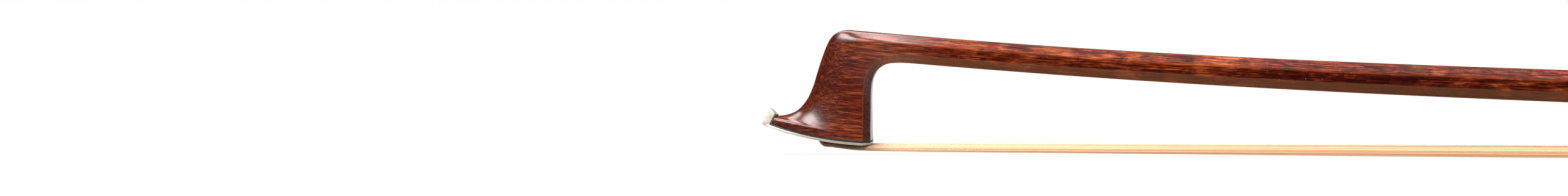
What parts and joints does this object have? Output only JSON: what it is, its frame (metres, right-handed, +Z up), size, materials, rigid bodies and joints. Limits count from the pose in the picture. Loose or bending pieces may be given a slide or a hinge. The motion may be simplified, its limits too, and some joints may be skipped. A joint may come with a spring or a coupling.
{
  "type": "violin bow",
  "caption": "Full-size violin bow with an octagonal stick, strung and lightly tightened, with a sliding frog and a screw button.",
  "frame": {"origin": "centre of the button's flat end, on the axis of the handle", "axes": "+X runs along the hair from the head towards the button, +Z points up from the hair to the stick, +Y across the bow"},
  "size_m": [0.7449, 0.013, 0.0289],
  "materials": {
    "bow_wood": "oiled and French-polished red-brown bow wood with fine streaks",
    "ebony": "polished ebony",
    "bone": "polished bone",
    "silver": "polished silver with light handling marks",
    "pearl": "polished shell with a soft play of colour",
    "horsehair": "bundled unbleached horsehair",
    "thread": "waxed binding thread",
    "leather": "worn dark grip leather",
    "lapping": "satin wound strip",
    "brass": "plain machined brass",
    "steel": "drawn steel",
    "plug_wood": "bare maple"
  },
  "bodies": {
    "stick": {"stick": "bow_wood", "head_liner": "ebony", "head_plate": "bone", "head_plug": "plug_wood", "head_knot": "thread", "head_hair": "horsehair", "hair_ribbon": "horsehair", "lapping": "lapping", "thumb_grip": "leather"},
    "frog": {"frog": "ebony", "underslide": "silver", "ferrule": "silver", "spread_wedge": "plug_wood", "frog_plug": "plug_wood", "frog_knot": "thread", "frog_hair": "horsehair", "pearl_slide": "pearl", "slide_base": "ebony", "heel_plate_upper": "silver", "heel_plate_lower": "silver", "eye_left": "pearl", "eye_right": "pearl", "eye_ring_left": "silver", "eye_ring_right": "silver", "eyelet": "brass"},
    "screw": {"screw": "steel", "button_core": "ebony", "button_front_collar": "silver", "button_rear_collar": "silver", "button_eye": "pearl"}
  },
  "joints": [
    {"name": "button_turn", "type": "hinge", "parent": "stick", "child": "screw", "pos_m": [0, 0, 0], "axis": [-0.9994, 0, -0.0355], "range_deg": [-1810, 1450]},
    {"name": "frog_slide", "type": "slide", "parent": "stick", "child": "frog", "axis": [0.9994, 0, 0.0355], "range_m": [-0.0035, 0.0028], "deforming": ["hair_ribbon"]}
  ],
  "couplings": [
    {"joint": "button_turn", "follows": "frog_slide", "rad_per_m": 8976}
  ]
}
